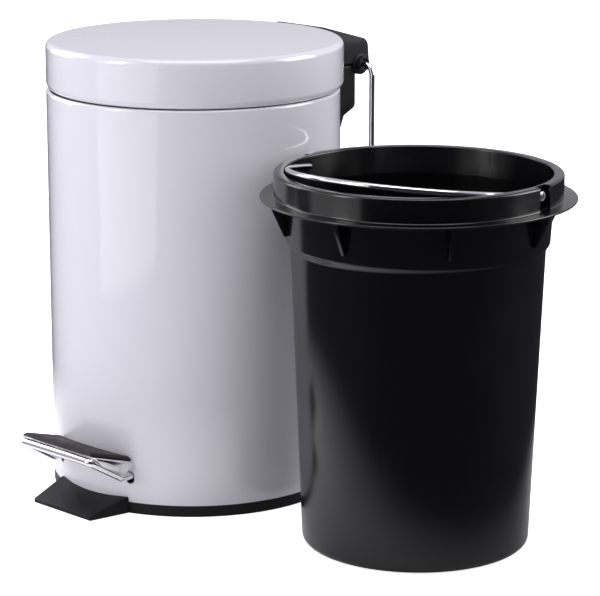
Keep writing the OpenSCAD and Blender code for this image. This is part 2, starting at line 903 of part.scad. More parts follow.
// Half of the bucket's section below the flange, filled, shrunk by the wall for the inside
module bucket_half(wall) {
    edge = bucket_edge_r - wall;
    translate([0, wall])
        square([bucket_bottom_r - bucket_edge_r, edge]);
    translate([bucket_bottom_r - bucket_edge_r, bucket_edge_r])
        circle(r = edge);
    polygon([
        [0, bucket_edge_r], [bucket_bottom_r - wall, bucket_edge_r],
        [bucket_top_r - wall, shoulder_z],
        [shoulder_r - 0.6 - wall, shoulder_z + 0.45 * shoulder_h],
        [shoulder_r - wall, shoulder_z + shoulder_h],
        [bucket_neck_r - wall, flange_z], [0, flange_z]]);
}

module bucket_section() {
    difference() {
        bucket_half(0);
        bucket_half(bucket_wall);
        translate([0, flange_z - over])
            square([bucket_neck_r - bucket_wall, 2 * over]);
    }
    translate([bucket_neck_r - bucket_wall, flange_z - 0.5])
        square([collar_in + bucket_wall - bucket_neck_r + bucket_wall, 0.5 + bucket_wall]);
    translate([collar_in, flange_z])
        square([bucket_wall, collar_top - 1 - flange_z]);
    translate([collar_r - skirt_t, flange_z])
        square([skirt_t, collar_top - 1 - flange_z]);
    translate([collar_in + 1, collar_top - bucket_wall])
        square([collar_w - 2, bucket_wall]);
    for (x = [collar_in + 1, collar_r - 1]) {
        translate([x, collar_top - 1])
            circle(r = 1);
    }
    translate([collar_r - skirt_t, flange_z])
        square([flange_r - 0.4 - collar_r + skirt_t, flange_t]);
    translate([flange_r - flange_t / 2, flange_z + flange_t / 2])
        circle(r = flange_t / 2);
}

module bucket_shell() {
    color([0.09, 0.09, 0.10])
        bucket_frame()
            difference() {
                union() {
                    rotate_extrude()
                        bucket_section();
                    for (i = [0:rib_count - 1]) {
                        rotate([0, 0, i * 360 / rib_count])
                            rotate([90, 0, 0])
                                linear_extrude(height = rib_t, center = true)
                                    polygon([
                                        [bucket_neck_r - 0.5, flange_z + flange_t / 2],
                                        [bucket_neck_r - 0.5 - 0.06 * rib_h, flange_z - rib_h],
                                        [bucket_neck_r + 1, flange_z - rib_h],
                                        [rib_r, flange_z - 5], [rib_r + 0.6, flange_z + flange_t / 2]]);
                    }
                }
                for (side = [-1, 1]) {
                    translate([side > 0 ? collar_in + bucket_wall + 0.1 : -collar_r - over,
                            -recess_w / 2, flange_top])
                        cube([collar_w - bucket_wall - 0.1 + over, recess_w, collar_h + over]);
                }
                translate([0, 0, bail_z])
                    rotate([0, 90, 0])
                        cylinder(h = 2 * collar_r, r = bail_r + run_fit, center = true);
            }
}

// The bail's plane, with X through its pivots and Y towards the middle of its arc
module bail_plane() {
    bucket_frame()
        translate([0, 0, bail_z])
            rotate([180 - bail_fold, 0, 0])
                children();
}

module bucket_bail() {
    color("silver")
        bail_plane() {
            wire_bend([0, 0], bail_arc_r, 0, 180, bail_r);
            for (side = [-1, 1]) {
                translate([side * bail_arc_r, 0, 0])
                    sphere(r = bail_r + joint_swell);
                rod_between(
                    [side * bail_arc_r, 0, 0], [side * (bail_head_x + bail_head_t), 0, 0], bail_r);
            }
        }
}

module bail_rivets() {
    color("gainsboro")
        bail_plane()
            for (side = [-1, 1]) {
                translate([side * (bail_head_x + bail_head_t / 2), 0, 0])
                    difference() {
                        cross_bar(0, 0, bail_head_r, bail_head_t);
                        cross_bar(0, 0, bail_r + seat, 2 * bail_head_t);
                    }
            }
}

body_shell();
base_ring();
floor_plate();
body_bracket();
body_bracket_plate();
body_bracket_screws();
hinge_pin();
pivot_bracket_left();
pivot_bracket_right();
pivot_rivets();
lid_shell();
lid_bracket();
lid_bracket_plate();
lid_bracket_screws();
carry_handle();
push_rod();
rod_clip();
rod_washers();
pedal_wire();
pedal_plate();
pedal_pad();
lift_lever();
leg_clamps();
pedal_axle();
axle_clips();
bucket_shell();
bucket_bail();
bail_rivets();
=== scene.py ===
from math import atan2, cos, pi, radians, sin, sqrt, tan

import bpy
from mathutils import Matrix, Vector


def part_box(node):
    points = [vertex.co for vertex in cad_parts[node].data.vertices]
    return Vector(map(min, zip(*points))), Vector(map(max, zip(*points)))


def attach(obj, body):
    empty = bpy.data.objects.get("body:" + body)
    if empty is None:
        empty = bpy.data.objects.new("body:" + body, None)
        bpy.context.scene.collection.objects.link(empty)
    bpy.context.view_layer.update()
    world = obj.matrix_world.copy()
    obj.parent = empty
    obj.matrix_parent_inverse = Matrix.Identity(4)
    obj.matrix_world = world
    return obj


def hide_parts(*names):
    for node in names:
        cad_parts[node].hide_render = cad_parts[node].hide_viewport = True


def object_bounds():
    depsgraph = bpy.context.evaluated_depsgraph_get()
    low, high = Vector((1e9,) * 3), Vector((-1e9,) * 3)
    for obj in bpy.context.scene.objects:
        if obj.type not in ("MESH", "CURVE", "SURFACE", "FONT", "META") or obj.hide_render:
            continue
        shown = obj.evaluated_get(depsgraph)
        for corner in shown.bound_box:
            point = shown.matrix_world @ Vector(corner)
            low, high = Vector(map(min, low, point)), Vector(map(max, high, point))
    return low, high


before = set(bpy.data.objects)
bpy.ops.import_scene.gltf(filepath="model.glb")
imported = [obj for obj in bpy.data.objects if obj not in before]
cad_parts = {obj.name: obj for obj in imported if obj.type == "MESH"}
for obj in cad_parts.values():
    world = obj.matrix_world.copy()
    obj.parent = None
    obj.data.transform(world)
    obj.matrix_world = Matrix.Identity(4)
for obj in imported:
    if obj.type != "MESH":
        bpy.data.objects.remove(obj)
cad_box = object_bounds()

# ---------------------------------------------------------------------------------------------
# Studio: a white sweep of floor, soft lamps all round and a long lens. Floor and room are white
# to the lens, but dark to the glossy sides of the drum, which would mirror them towards it.
# None of it belongs to the bin.

mm = 0.001
camera_turn, camera_tilt = radians(45), radians(76.28)


def add_node(tree, kind, **settings):
    """A node with its properties and its unlinked inputs set by name."""
    made = tree.nodes.new(kind)
    for label, value in settings.items():
        if hasattr(made, label):
            setattr(made, label, value)
        else:
            made.inputs[label.replace("_", " ")].default_value = value
    return made


bpy.ops.object.select_all(action="DESELECT")
bpy.ops.mesh.primitive_plane_add(size=14, location=(0, 0, 0))
floor = bpy.context.object
floor.name = "studio_floor"
floor_white = bpy.data.materials.new("floor_white")
floor_white.use_nodes = True
tree = floor_white.node_tree
shader = tree.nodes["Principled BSDF"]
shader.inputs["Roughness"].default_value = 0.9
shader.inputs["Specular IOR Level"].default_value = 0.1
shader.inputs["Emission Strength"].default_value = 0.75
ray = add_node(tree, "ShaderNodeLightPath")
place = add_node(tree, "ShaderNodeTexCoord")
reach = add_node(tree, "ShaderNodeVectorMath", operation="LENGTH")
far = add_node(tree, "ShaderNodeMapRange", From_Min=0.16, From_Max=0.30)
mirrored = add_node(tree, "ShaderNodeMath", operation="MULTIPLY")
pale = add_node(
    tree, "ShaderNodeMix", data_type="RGBA", A=(0.94, 0.94, 0.95, 1), B=(0.02, 0.02, 0.025, 1))
glow = add_node(tree, "ShaderNodeMix", data_type="RGBA", A=(0, 0, 0, 1), B=(1, 1, 1, 1))
tree.links.new(place.outputs["Object"], reach.inputs[0])
tree.links.new(reach.outputs["Value"], far.inputs["Value"])
tree.links.new(far.outputs["Result"], mirrored.inputs[0])
tree.links.new(ray.outputs["Is Glossy Ray"], mirrored.inputs[1])
tree.links.new(mirrored.outputs[0], pale.inputs[0])
tree.links.new(ray.outputs["Is Camera Ray"], glow.inputs[0])
tree.links.new(pale.outputs[2], shader.inputs["Base Color"])
tree.links.new(glow.outputs[2], shader.inputs["Emission Color"])
floor.data.materials.append(floor_white)

studio = bpy.data.worlds.new("studio")
studio.use_nodes = True
tree = studio.node_tree
room = tree.nodes["Background"]
room.inputs["Color"].default_value = (0.93, 0.91, 1, 1)
aim = add_node(tree, "ShaderNodeTexCoord")
facing = add_node(tree, "ShaderNodeVectorMath", operation="DOT_PRODUCT")
facing.inputs[1].default_value = (sin(camera_turn), -cos(camera_turn), 0)
dimming = add_node(
    tree, "ShaderNodeMapRange", interpolation_type="SMOOTHSTEP",
    From_Min=0, From_Max=0.85, To_Min=0.60, To_Max=0.03)
backdrop = add_node(tree, "ShaderNodeBackground")
seen = add_node(tree, "ShaderNodeLightPath")
either = add_node(tree, "ShaderNodeMixShader")
tree.links.new(aim.outputs["Generated"], facing.inputs[0])
tree.links.new(facing.outputs["Value"], dimming.inputs["Value"])
tree.links.new(dimming.outputs["Result"], room.inputs["Strength"])
tree.links.new(seen.outputs["Is Camera Ray"], either.inputs[0])
tree.links.new(room.outputs[0], either.inputs[1])
tree.links.new(backdrop.outputs[0], either.inputs[2])
tree.links.new(either.outputs[0], tree.nodes["World Output"].inputs[0])
bpy.context.scene.world = studio
bpy.context.scene.view_settings.view_transform = "Standard"


def soft_lamp(name, place, target, width, height, power):
    """A softbox that faces a target."""
    lamp = bpy.data.lights.new(name, "AREA")
    lamp.shape = "RECTANGLE"
    lamp.size, lamp.size_y = width, height
    lamp.energy = power
    holder = bpy.data.objects.new(name, lamp)
    holder.location = place
    holder.rotation_euler = (Vector(target) - Vector(place)).to_track_quat("-Z", "Y").to_euler()
    bpy.context.scene.collection.objects.link(holder)


middle = (cad_box[0] + cad_box[1]) / 2
soft_lamp("lamp_key", (-0.5, -1.9, 0.9), middle, 0.5, 1.5, 13)
soft_lamp("lamp_left", (-1.6, -0.4, 0.75), middle, 1.1, 1.5, 16)
soft_lamp("lamp_right", (1.3, 1.3, 0.85), middle, 1.1, 1.4, 26)
soft_lamp("lamp_top", (0.3, -0.2, 1.9), middle, 1.6, 1.2, 18)
soft_lamp("lamp_card", (0.02, -0.38, 0.22), (0.17, 0, 0.15), 0.34, 0.34, 0.3)

lens = bpy.data.cameras.new("studio_camera")
lens.lens = 160
lens.sensor_width = 36
camera = bpy.data.objects.new("studio_camera", lens)
camera.location = (1.1109, -1.0248, 0.4751)
camera.rotation_euler = (camera_tilt, 0, camera_turn)
bpy.context.scene.collection.objects.link(camera)
bpy.context.scene.camera = camera

# ---------------------------------------------------------------------------------------------
# Body: a drum of painted steel sheet, seamed at the back, its rim rolled inwards round a bead.
# Two slots in front let the pedal's legs through, and a window at the back lets the rod out.


def arc(centre_r, centre_z, radius, start, end, steps):
    """Points (radius, height) along a round stretch of a turned section, angles in degrees."""
    turns = [radians(start + (end - start) * i / steps) for i in range(steps + 1)]
    return [(centre_r + radius * cos(a), centre_z + radius * sin(a)) for a in turns]


def turned(name, centre, section, around=160, capped=False):
    """A turned shell: a circle carried along a section of (radius, height) points."""
    radius, height = section[0]
    bpy.ops.object.select_all(action="DESELECT")
    bpy.ops.mesh.primitive_circle_add(
        vertices=around, radius=radius, location=(centre[0], centre[1], height),
        fill_type="NGON" if capped else "NOTHING")
    piece = bpy.context.object
    piece.name = name
    bpy.ops.object.mode_set(mode="EDIT")
    bpy.ops.mesh.select_mode(type="EDGE")
    bpy.ops.mesh.select_all(action="SELECT")
    for next_radius, next_height in section[1:]:
        bpy.ops.mesh.extrude_edges_move(
            TRANSFORM_OT_translate={"value": (0, 0, next_height - height)})
        share = next_radius / radius
        bpy.ops.transform.resize(
            value=(share, share, 1), center_override=(centre[0], centre[1], next_height))
        radius, height = next_radius, next_height
    if capped:
        bpy.ops.mesh.edge_face_add()
    close_up()
    bpy.ops.object.mode_set(mode="OBJECT")
    return piece


def close_up():
    """Merges the seams of the mesh in edit mode and turns its faces outwards."""
    bpy.ops.mesh.select_all(action="SELECT")
    bpy.ops.mesh.remove_doubles(threshold=0.001 * mm)
    bpy.ops.mesh.normals_make_consistent(inside=False)


def cylinder(radius, depth, place, rotation=(0, 0, 0), sides=64):
    """A plain round bar, to cut with or to build on."""
    bpy.ops.object.select_all(action="DESELECT")
    bpy.ops.mesh.primitive_cylinder_add(
        vertices=sides, radius=radius, depth=depth, location=place, rotation=rotation)
    return bpy.context.object


def pick(piece, wanted):
    """Selects the points of a piece that a test on their place picks out, and opens it."""
    bpy.ops.object.mode_set(mode="OBJECT")
    bpy.ops.object.select_all(action="DESELECT")
    bpy.context.view_layer.objects.active = piece
    piece.select_set(True)
    bpy.ops.object.mode_set(mode="EDIT")
    bpy.ops.mesh.select_mode(type="VERT")
    bpy.ops.mesh.select_all(action="DESELECT")
    bpy.ops.object.mode_set(mode="OBJECT")
    for point in piece.data.vertices:
        point.select = wanted(piece.matrix_world @ point.co)
    bpy.ops.object.mode_set(mode="EDIT")


def combine(piece, other, how):
    """Cuts a second solid out of a piece, or joins it on, and uses it up."""
    step = piece.modifiers.new("combine", "BOOLEAN")
    step.operation = how
    step.solver = "EXACT"
    step.object = other
    bpy.ops.object.select_all(action="DESELECT")
    bpy.context.view_layer.objects.active = piece
    piece.select_set(True)
    bpy.ops.object.modifier_apply(modifier=step.name)
    bpy.data.objects.remove(other)


def settle(piece, smooth_below=35):
    """Puts the place of a piece into its mesh and smooths what is below an angle."""
    bpy.ops.object.select_all(action="DESELECT")
    bpy.context.view_layer.objects.active = piece
    piece.select_set(True)
    bpy.ops.object.transform_apply(location=True, rotation=True, scale=True)
    bpy.ops.object.shade_smooth_by_angle(angle=radians(smooth_below))


body_low, body_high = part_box("body_shell")
body_r = body_high.x
body_top = body_high.z
sheet = 0.8 * mm
bead_r = 1.6 * mm
bead_meets_wall = 300
body_section = (
    arc(body_r - sheet / 2, body_low.z + sheet / 2, sheet / 2, 180, 360, 6)
    + [(body_r, body_low.z + step * mm) for step in (6, 12, 24, 60, 120, 180)]
    + arc(body_r - bead_r, body_top - bead_r, bead_r, 0, bead_meets_wall, 20)
    + [(body_r - sheet, body_low.z + step * mm) for step in (180, 120, 60, 24, 12, 6)])
drum = turned("drum", (0, 0), body_section + body_section[:1])

pedal_low, pedal_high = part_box("pedal_wire")
leg_r = 2.3 * mm
leg_x = pedal_high.x - leg_r
lever_drop, rod_reach = 10.6 * mm, body_r - 4.6 * mm + (body_r - 12 * mm)
leg_slope = atan2(lever_drop, rod_reach)
leg_end_y = pedal_high.y - leg_r * sin(leg_slope)
leg_end_z = pedal_low.z + leg_r * cos(leg_slope)
wall_y = -sqrt(body_r ** 2 - leg_x ** 2)
slot_r = leg_r + 0.4 * mm
slot_z = leg_end_z + (leg_end_y - wall_y) * tan(leg_slope)
slot_drop = 1.9 * mm
lengthwise, across = (radians(90), 0, 0), (0, radians(90), 0)
for side in (-1, 1):
    slot_cut = cylinder(slot_r, 30 * mm, (side * leg_x, wall_y, slot_z), lengthwise, 48)
    pick(slot_cut, lambda p: p.z < slot_z - 0.01 * mm)
    bpy.ops.transform.translate(value=(0, 0, -slot_drop))
    bpy.ops.object.mode_set(mode="OBJECT")
    combine(drum, slot_cut, "DIFFERENCE")

window_half = 3.5 * mm
window_low, window_high = body_top - 40.7 * mm, body_top - 3.7 * mm
bpy.ops.mesh.primitive_cube_add(
    size=1, location=(0, body_r, (window_low + window_high) / 2),
    scale=(2 * window_half, 10 * mm, window_high - window_low))
combine(drum, bpy.context.object, "DIFFERENCE")
settle(drum)


def group(name, sockets_in, sockets_out):
    """An empty node group with named float or colour sockets."""
    tree = bpy.data.node_groups.new(name, "ShaderNodeTree")
    for label, kind, value in sockets_in:
        tree.interface.new_socket(label, in_out="INPUT", socket_type=kind).default_value = value
    for label, kind in sockets_out:
        tree.interface.new_socket(label, in_out="OUTPUT", socket_type=kind)
    return tree, tree.nodes.new("NodeGroupInput"), tree.nodes.new("NodeGroupOutput")


def noise_of(tree, place, scale, detail=3.0, roughness=0.5):
    """A noise texture on given coordinates; returns its value socket."""
    noise = add_node(tree, "ShaderNodeTexNoise", Scale=scale, Detail=detail, Roughness=roughness)
    tree.links.new(place, noise.inputs["Vector"])
    return noise.outputs["Fac"]


def ranged(tree, value, low, high, new_low, new_high):
    """A value carried smoothly from one range to another."""
    node = add_node(tree, "ShaderNodeMapRange", interpolation_type="SMOOTHSTEP")
    for label, number in zip(("From Min", "From Max", "To Min", "To Max"),
                             (low, high, new_low, new_high)):
        node.inputs[label].default_value = number
    tree.links.new(value, node.inputs["Value"])
    return node.outputs["Result"]


# Rubbed edges: where the rounded and the true surface directions differ, broken up by noise
edge_wear, wear_in, wear_out = group(
    "edge_wear", [("Radius", "NodeSocketFloat", 0.6 * mm), ("Amount", "NodeSocketFloat", 0.5)],
    [("Mask", "NodeSocketFloat")])
rounded = add_node(edge_wear, "ShaderNodeBevel", samples=4)
true_side = add_node(edge_wear, "ShaderNodeNewGeometry")
likeness = add_node(edge_wear, "ShaderNodeVectorMath", operation="DOT_PRODUCT")
wear_place = add_node(edge_wear, "ShaderNodeTexCoord")
edge_wear.links.new(wear_in.outputs["Radius"], rounded.inputs["Radius"])
edge_wear.links.new(rounded.outputs["Normal"], likeness.inputs[0])
edge_wear.links.new(true_side.outputs["Normal"], likeness.inputs[1])
on_edge = ranged(edge_wear, likeness.outputs["Value"], 0.995, 0.9, 0, 1)
patches = noise_of(edge_wear, wear_place.outputs["Object"], 420)
broken = ranged(edge_wear, patches, 0.35, 0.65, 0.15, 1)
edge_part = add_node(edge_wear, "ShaderNodeMath", operation="MULTIPLY")
edge_all = add_node(edge_wear, "ShaderNodeMath", operation="MULTIPLY")
edge_wear.links.new(on_edge, edge_part.inputs[0])
edge_wear.links.new(broken, edge_part.inputs[1])
edge_wear.links.new(edge_part.outputs[0], edge_all.inputs[0])
edge_wear.links.new(wear_in.outputs["Amount"], edge_all.inputs[1])
edge_wear.links.new(edge_all.outputs[0], wear_out.inputs["Mask"])

# Handling marks: soft cloudy smears with a few finer streaks across them
handling, marks_in, marks_out = group(
    "handling_marks", [("Size", "NodeSocketFloat", 30.0)], [("Mask", "NodeSocketFloat")])
marks_place = add_node(handling, "ShaderNodeTexCoord")
clouds = add_node(handling, "ShaderNodeTexNoise", Detail=5.0, Roughness=0.6, Distortion=0.6)
streak_turn = add_node(handling, "ShaderNodeMapping")
streak_turn.inputs["Rotation"].default_value = (0.3, 0.2, 0.9)
streak_turn.inputs["Scale"].default_value = (14, 1, 2)
streaks = add_node(handling, "ShaderNodeTexNoise", Scale=26.0, Detail=3.0)
mark_mix = add_node(handling, "ShaderNodeMath", operation="MULTIPLY_ADD")
mark_mix.inputs[1].default_value = 0.35
handling.links.new(marks_place.outputs["Object"], clouds.inputs["Vector"])
handling.links.new(marks_in.outputs["Size"], clouds.inputs["Scale"])
handling.links.new(marks_place.outputs["Object"], streak_turn.inputs["Vector"])
handling.links.new(streak_turn.outputs["Vector"], streaks.inputs["Vector"])
handling.links.new(streaks.outputs["Fac"], mark_mix.inputs[0])
handling.links.new(clouds.outputs["Fac"], mark_mix.inputs[2])
handling.links.new(ranged(handling, mark_mix.outputs[0], 0.55, 0.85, 0, 1), marks_out.inputs["Mask"])


def finish_material(name, colour, worn_colour, wear, roughness, smeared, mark_size, metallic=0.0,
                    edge_radius=0.6 * mm):
    """A surface whose edges are rubbed to a second colour and whose gloss varies with handling.
    Returns the material, its tree, its shader and its object coordinates."""
    made = bpy.data.materials.new(name)
    made.use_nodes = True
    tree = made.node_tree
    shader = tree.nodes["Principled BSDF"]
    shader.inputs["Metallic"].default_value = metallic
    worn = add_node(
        tree, "ShaderNodeGroup", node_tree=edge_wear, Radius=edge_radius, Amount=wear)
    marks = add_node(tree, "ShaderNodeGroup", node_tree=handling, Size=mark_size)
    blend = add_node(
        tree, "ShaderNodeMix", data_type="RGBA", A=(*colour, 1), B=(*worn_colour, 1))
    tree.links.new(worn.outputs["Mask"], blend.inputs[0])
    tree.links.new(blend.outputs[2], shader.inputs["Base Color"])
    tree.links.new(ranged(tree, marks.outputs["Mask"], 0, 1, roughness, smeared),
                   shader.inputs["Roughness"])
    place = add_node(tree, "ShaderNodeTexCoord").outputs["Object"]
    return made, tree, shader, place


def raise_surface(tree, shader, height, depth, strength=1.0):
    """Bumps a shader's surface by a height from 0 to 1."""
    bump = add_node(tree, "ShaderNodeBump", Distance=depth, Strength=strength)
    tree.links.new(height, bump.inputs["Height"])
    tree.links.new(bump.outputs["Normal"], shader.inputs["Normal"])


# Gloss enamel: a cool white with a faint lavender cast and the slight ripple of sprayed paint
enamel, tree, shader, place = finish_material(
    "white_enamel", (0.66, 0.65, 0.715), (0.54, 0.53, 0.58), 0.35, 0.06, 0.12, 9)
shader.inputs["Coat Weight"].default_value = 0.8
shader.inputs["Coat Roughness"].default_value = 0.03
raise_surface(tree, shader, noise_of(tree, place, 260, 2), 0.03 * mm, 0.35)

drum.data.materials.append(enamel)
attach(drum, "can")
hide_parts("body_shell")

# ---------------------------------------------------------------------------------------------
# Base: one black moulding. A ring grips the lower edge of the drum from inside, notched at the
# back for the foot of the push rod. A thin floor closes it, and a toe ramp leads to the pedal.

base_low, base_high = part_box("base_ring")
ring_h = body_low.z
ring_in = body_r - 3 * mm
lip_out = body_r - sheet - 0.02 * mm
lip_in = lip_out - 1.8 * mm
ledge_z = 2.5 * mm
ring_edge = 0.7 * mm
base_section = (
    arc(body_r - ring_edge, ring_edge, ring_edge, 270, 360, 5)
    + [(body_r, ring_h - 0.3 * mm), (body_r - 0.3 * mm, ring_h), (lip_out, ring_h)]
    + arc(lip_out - 0.5 * mm, base_high.z - 0.5 * mm, 0.5 * mm, 0, 90, 4)
    + arc(lip_in + 0.5 * mm, base_high.z - 0.5 * mm, 0.5 * mm, 90, 180, 4)
    + [(lip_in, ledge_z), (ring_in - 6 * mm, ledge_z), (ring_in - 6 * mm, 1.2 * mm)])
base = turned("base_moulding", (0, 0), base_section, capped=True)

ramp_front_w, ramp_back_w = 49 * mm, 57 * mm
ramp_front_h, ramp_back_h = 2.6 * mm, 9.5 * mm
ramp_back_y = -body_r + 9 * mm
slope_end_y = -body_r + 4 * mm
bpy.ops.object.select_all(action="DESELECT")
bpy.ops.mesh.primitive_plane_add(size=1, location=(0, (base_low.y + slope_end_y) / 2, 0))
ramp = bpy.context.object
bpy.ops.object.mode_set(mode="EDIT")
bpy.ops.transform.resize(
    value=(ramp_back_w, slope_end_y - base_low.y, 1),
    center_override=(0, (base_low.y + slope_end_y) / 2, 0))
bpy.ops.object.mode_set(mode="OBJECT")
pick(ramp, lambda p: p.y < base_low.y + mm)
bpy.ops.transform.resize(
    value=(ramp_front_w / ramp_back_w, 1, 1), center_override=(0, base_low.y, 0))
bpy.ops.mesh.select_all(action="SELECT")
bpy.ops.mesh.extrude_region_move(TRANSFORM_OT_translate={"value": (0, 0, ramp_front_h)})
pick(ramp, lambda p: p.y > slope_end_y - mm and p.z > mm)
bpy.ops.transform.translate(value=(0, 0, ramp_back_h - ramp_front_h))
pick(ramp, lambda p: p.y > slope_end_y - mm)
bpy.ops.mesh.extrude_region_move(
    TRANSFORM_OT_translate={"value": (0, ramp_back_y - slope_end_y, 0)})
close_up()
bpy.ops.object.mode_set(mode="OBJECT")


def soften(piece, width, segments=3, angle=30):
    """Rounds the sharp edges of a piece."""
    step = piece.modifiers.new("soften", "BEVEL")
    step.width = width
    step.segments = segments
    step.limit_method = "ANGLE"
    step.angle_limit = radians(angle)
    bpy.ops.object.select_all(action="DESELECT")
    bpy.context.view_layer.objects.active = piece
    piece.select_set(True)
    bpy.ops.object.modifier_apply(modifier=step.name)


soften(ramp, 0.7 * mm, 2, 12)
drum_room = cylinder(body_r + 0.05 * mm, 40 * mm, (0, 0, ring_h + 20 * mm), sides=160)
combine(ramp, drum_room, "DIFFERENCE")
combine(ramp, cylinder(ring_in, 40 * mm, (0, 0, 10 * mm)), "DIFFERENCE")
combine(base, ramp, "UNION")


def stacked(name, half, front, levels):
    """A block built up or down from level to level, each a (height, back) pair in depth."""
    height, back = levels[0]
    bpy.ops.object.select_all(action="DESELECT")
    bpy.ops.mesh.primitive_plane_add(size=1, location=(0, (front + back) / 2, height))
    piece = bpy.context.object
    piece.name = name
    bpy.ops.object.mode_set(mode="EDIT")
    bpy.ops.transform.resize(
        value=(2 * half, back - front, 1), center_override=(0, (front + back) / 2, height))
    for next_height, next_back in levels[1:]:
        bpy.ops.mesh.extrude_region_move(
            TRANSFORM_OT_translate={"value": (0, 0, next_height - height)})
        bpy.ops.transform.resize(
            value=(1, (next_back - front) / (back - front), 1),
            center_override=(0, front, next_height))
        height, back = next_height, next_back
    close_up()
    bpy.ops.object.mode_set(mode="OBJECT")
    return piece


notch_half, notch_back = 9 * mm, body_r - 1.4 * mm
notch = stacked("notch", notch_half, body_r - 14 * mm, [
    (ledge_z, notch_back), (ring_h, notch_back), (ring_h, body_r + 2 * mm),
    (base_high.z + mm, body_r + 2 * mm)])
combine(base, notch, "DIFFERENCE")
settle(base)

# Moulded black: spark-eroded grain, dull, its corners rubbed a little lighter
moulded, tree, shader, place = finish_material(
    "moulded_black", (0.006, 0.0052, 0.0064), (0.03, 0.028, 0.031), 0.6, 0.45, 0.55, 20)
shader.inputs["Specular IOR Level"].default_value = 0.2
raise_surface(tree, shader, noise_of(tree, place, 2600, 2), 0.05 * mm, 0.6)

base.data.materials.append(moulded)
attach(base, "can")
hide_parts("base_ring")

# ---------------------------------------------------------------------------------------------
# Floor plate, axle brackets and rivets: pressed and folded sheet steel, zinc plated, riveted
# together before the drum goes on. They keep their machined shapes.


def dress(node, material):
    """Gives a part that keeps its own shape a new surface."""
    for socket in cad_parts[node].material_slots:
        socket.material = material


# Zinc plate: a grey, faintly clouded metal with a fine crystalline spangle
zinc, tree, shader, place = finish_material(
    "zinc_plate", (0.52, 0.53, 0.55), (0.68, 0.68, 0.69), 0.5, 0.30, 0.46, 35, metallic=1.0)
spangle = add_node(tree, "ShaderNodeTexVoronoi", Scale=520)
tree.links.new(place, spangle.inputs["Vector"])
raise_surface(tree, shader, spangle.outputs["Distance"], 0.03 * mm, 0.3)
for node in ("floor_plate", "pivot_bracket_left", "pivot_bracket_right", "pivot_rivets"):
    dress(node, zinc)

# ---------------------------------------------------------------------------------------------
# Lid: a shallow pressing of the same painted sheet. Its top edge is rounded in the press and
# its lower edge is turned in over the rolled rim of the drum.

lid_low, lid_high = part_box("lid_shell")
lid_r = lid_high.x
lid_centre = (0, (lid_low.y + lid_high.y) / 2)
lid_corner = 3.5 * mm
lid_curl, lid_curl_h = 2 * mm, 3.8 * mm
curl_steps = 7


def curl_at(radius, share):
    """A point down the turned-in lower edge, share 0 at its start and 1 at its end."""
    return (radius - lid_curl * share ** 2, lid_low.z + lid_curl_h * (1 - share))


corner_z = lid_high.z - lid_corner
shares = [i / curl_steps for i in range(curl_steps + 1)]
lid_section = (
    arc(lid_r - lid_corner, corner_z, lid_corner, 90, 0, 12)
    + [curl_at(lid_r, share) for share in shares]
    + [curl_at(lid_r - sheet, share) for share in reversed(shares)]
    + arc(lid_r - lid_corner, corner_z, lid_corner - sheet, 0, 90, 8))
lid = turned("lid", lid_centre, lid_section, capped=True)
settle(lid)
lid.data.materials.append(enamel)
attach(lid, "lid")
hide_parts("lid_shell")

# ---------------------------------------------------------------------------------------------
# Lower hinge bracket: a black moulding screwed to the back of the drum. It is hollow, because
# the push rod rises inside it, and its two shoulders carry the hinge pin.

bracket_low, bracket_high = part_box("body_bracket")
bracket_half = bracket_high.x
pin_low, pin_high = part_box("hinge_pin")
pin_y, pin_z = (pin_low.y + pin_high.y) / 2, (pin_low.z + pin_high.z) / 2
bracket_top = pin_z - 0.3 * mm
bracket_front = body_r - 6 * mm

bracket_levels = [
    (bracket_top, pin_y - 3.3 * mm), (body_top - 21.8 * mm, pin_y - 3.3 * mm),
    (body_top - 23.6 * mm, pin_y - 4.4 * mm), (body_top - 24.5 * mm, pin_y - 6.3 * mm),
    (body_top - 27.4 * mm, pin_y - 12.7 * mm), (body_top - 36 * mm, pin_y - 16.3 * mm),
    (body_top - 48 * mm, pin_y - 17.5 * mm), (bracket_low.z, body_r + 0.4 * mm)]
lower_bracket = stacked("lower_bracket", bracket_half, bracket_front, bracket_levels)
soften(lower_bracket, 1.1 * mm, 3, 28)

knuckle_r, knuckle_half = 5.5 * mm, 13.6 * mm
knuckle = cylinder(knuckle_r, 2 * knuckle_half, (0, pin_y, pin_z), across)
combine(lower_bracket, knuckle, "UNION")
boss_r, boss_x = 6.5 * mm, 22.5 * mm
for side in (-1, 1):
    boss_room = cylinder(
        boss_r + 0.4 * mm, 10 * mm, (side * (knuckle_half + 5 * mm), pin_y, pin_z), across)
    combine(lower_bracket, boss_room, "DIFFERENCE")
drum_room = cylinder(body_r + 0.02 * mm, 200 * mm, (0, 0, body_top - 90 * mm), sides=160)
combine(lower_bracket, drum_room, "DIFFERENCE")
lid_room = cylinder(lid_r + 0.5 * mm, 60 * mm, (*lid_centre, body_top + 29.9 * mm), sides=160)
combine(lower_bracket, lid_room, "DIFFERENCE")

hollow_half = 10.5 * mm
hollow = stacked("hollow", hollow_half, body_r - 4 * mm, [
    (lid_high.z, pin_y - 7.5 * mm), (body_top - 17 * mm, pin_y - 7.5 * mm),
    (body_top - 25 * mm, pin_y - 18.3 * mm), (window_low, pin_y - 18.3 * mm)])
combine(lower_bracket, hollow, "DIFFERENCE")
pin_r = 2 * mm
pin_bore = cylinder(pin_r + 0.02 * mm, 60 * mm, (0, pin_y, pin_z), across, 40)
combine(lower_bracket, pin_bore, "DIFFERENCE")
settle(lower_bracket)
lower_bracket.data.materials.append(moulded)
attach(lower_bracket, "can")
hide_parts("body_bracket")

# ---------------------------------------------------------------------------------------------
# Upper hinge bracket: the lid's half of the hinge, screwed to the lid from inside. Its cheeks
# reach over the lower bracket and end in two round bosses for the pin and the handle's ends.

